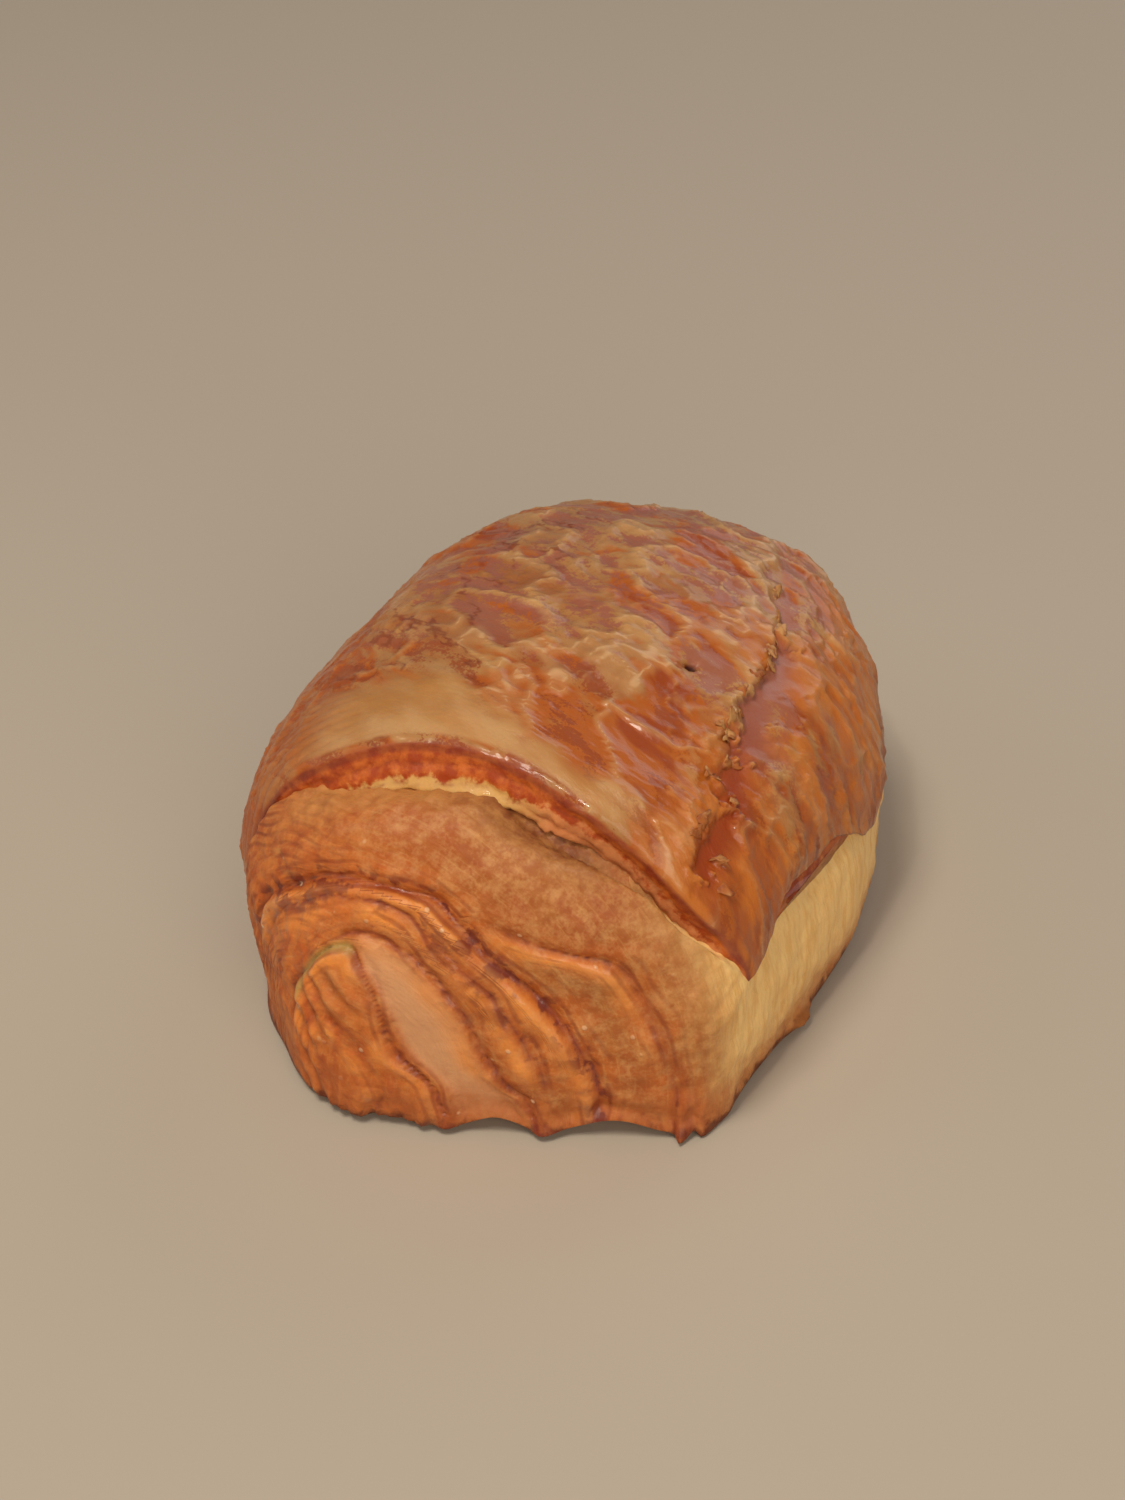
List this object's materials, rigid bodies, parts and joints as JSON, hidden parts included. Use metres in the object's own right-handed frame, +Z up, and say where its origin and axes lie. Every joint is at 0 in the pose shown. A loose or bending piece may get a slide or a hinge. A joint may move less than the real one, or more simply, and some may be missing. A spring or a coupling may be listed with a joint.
{
  "type": "rolled croissant pastry",
  "caption": "Baked croissant pastry: a plump roll of laminated dough with a glazed flaky crust, a coil of folds at each end and a flat base.",
  "frame": {"origin": "on the resting plane, under the middle of the pastry's box", "axes": "+Y along the roll from the wide coiled end to the narrow one, +X across toward the wrap's free edge, +Z up from the base"},
  "size_m": [0.0916, 0.1144, 0.0571],
  "materials": {
    "glazed_crust": "egg-washed flaky crust, amber to red-brown with pale flakes, semi-gloss",
    "pale_dough": "unglazed baked dough, cream to golden tan, fine fibrous layers, matt"
  },
  "bodies": {
    "root": {"croissant": "glazed_crust"}
  },
  "joints": []
}
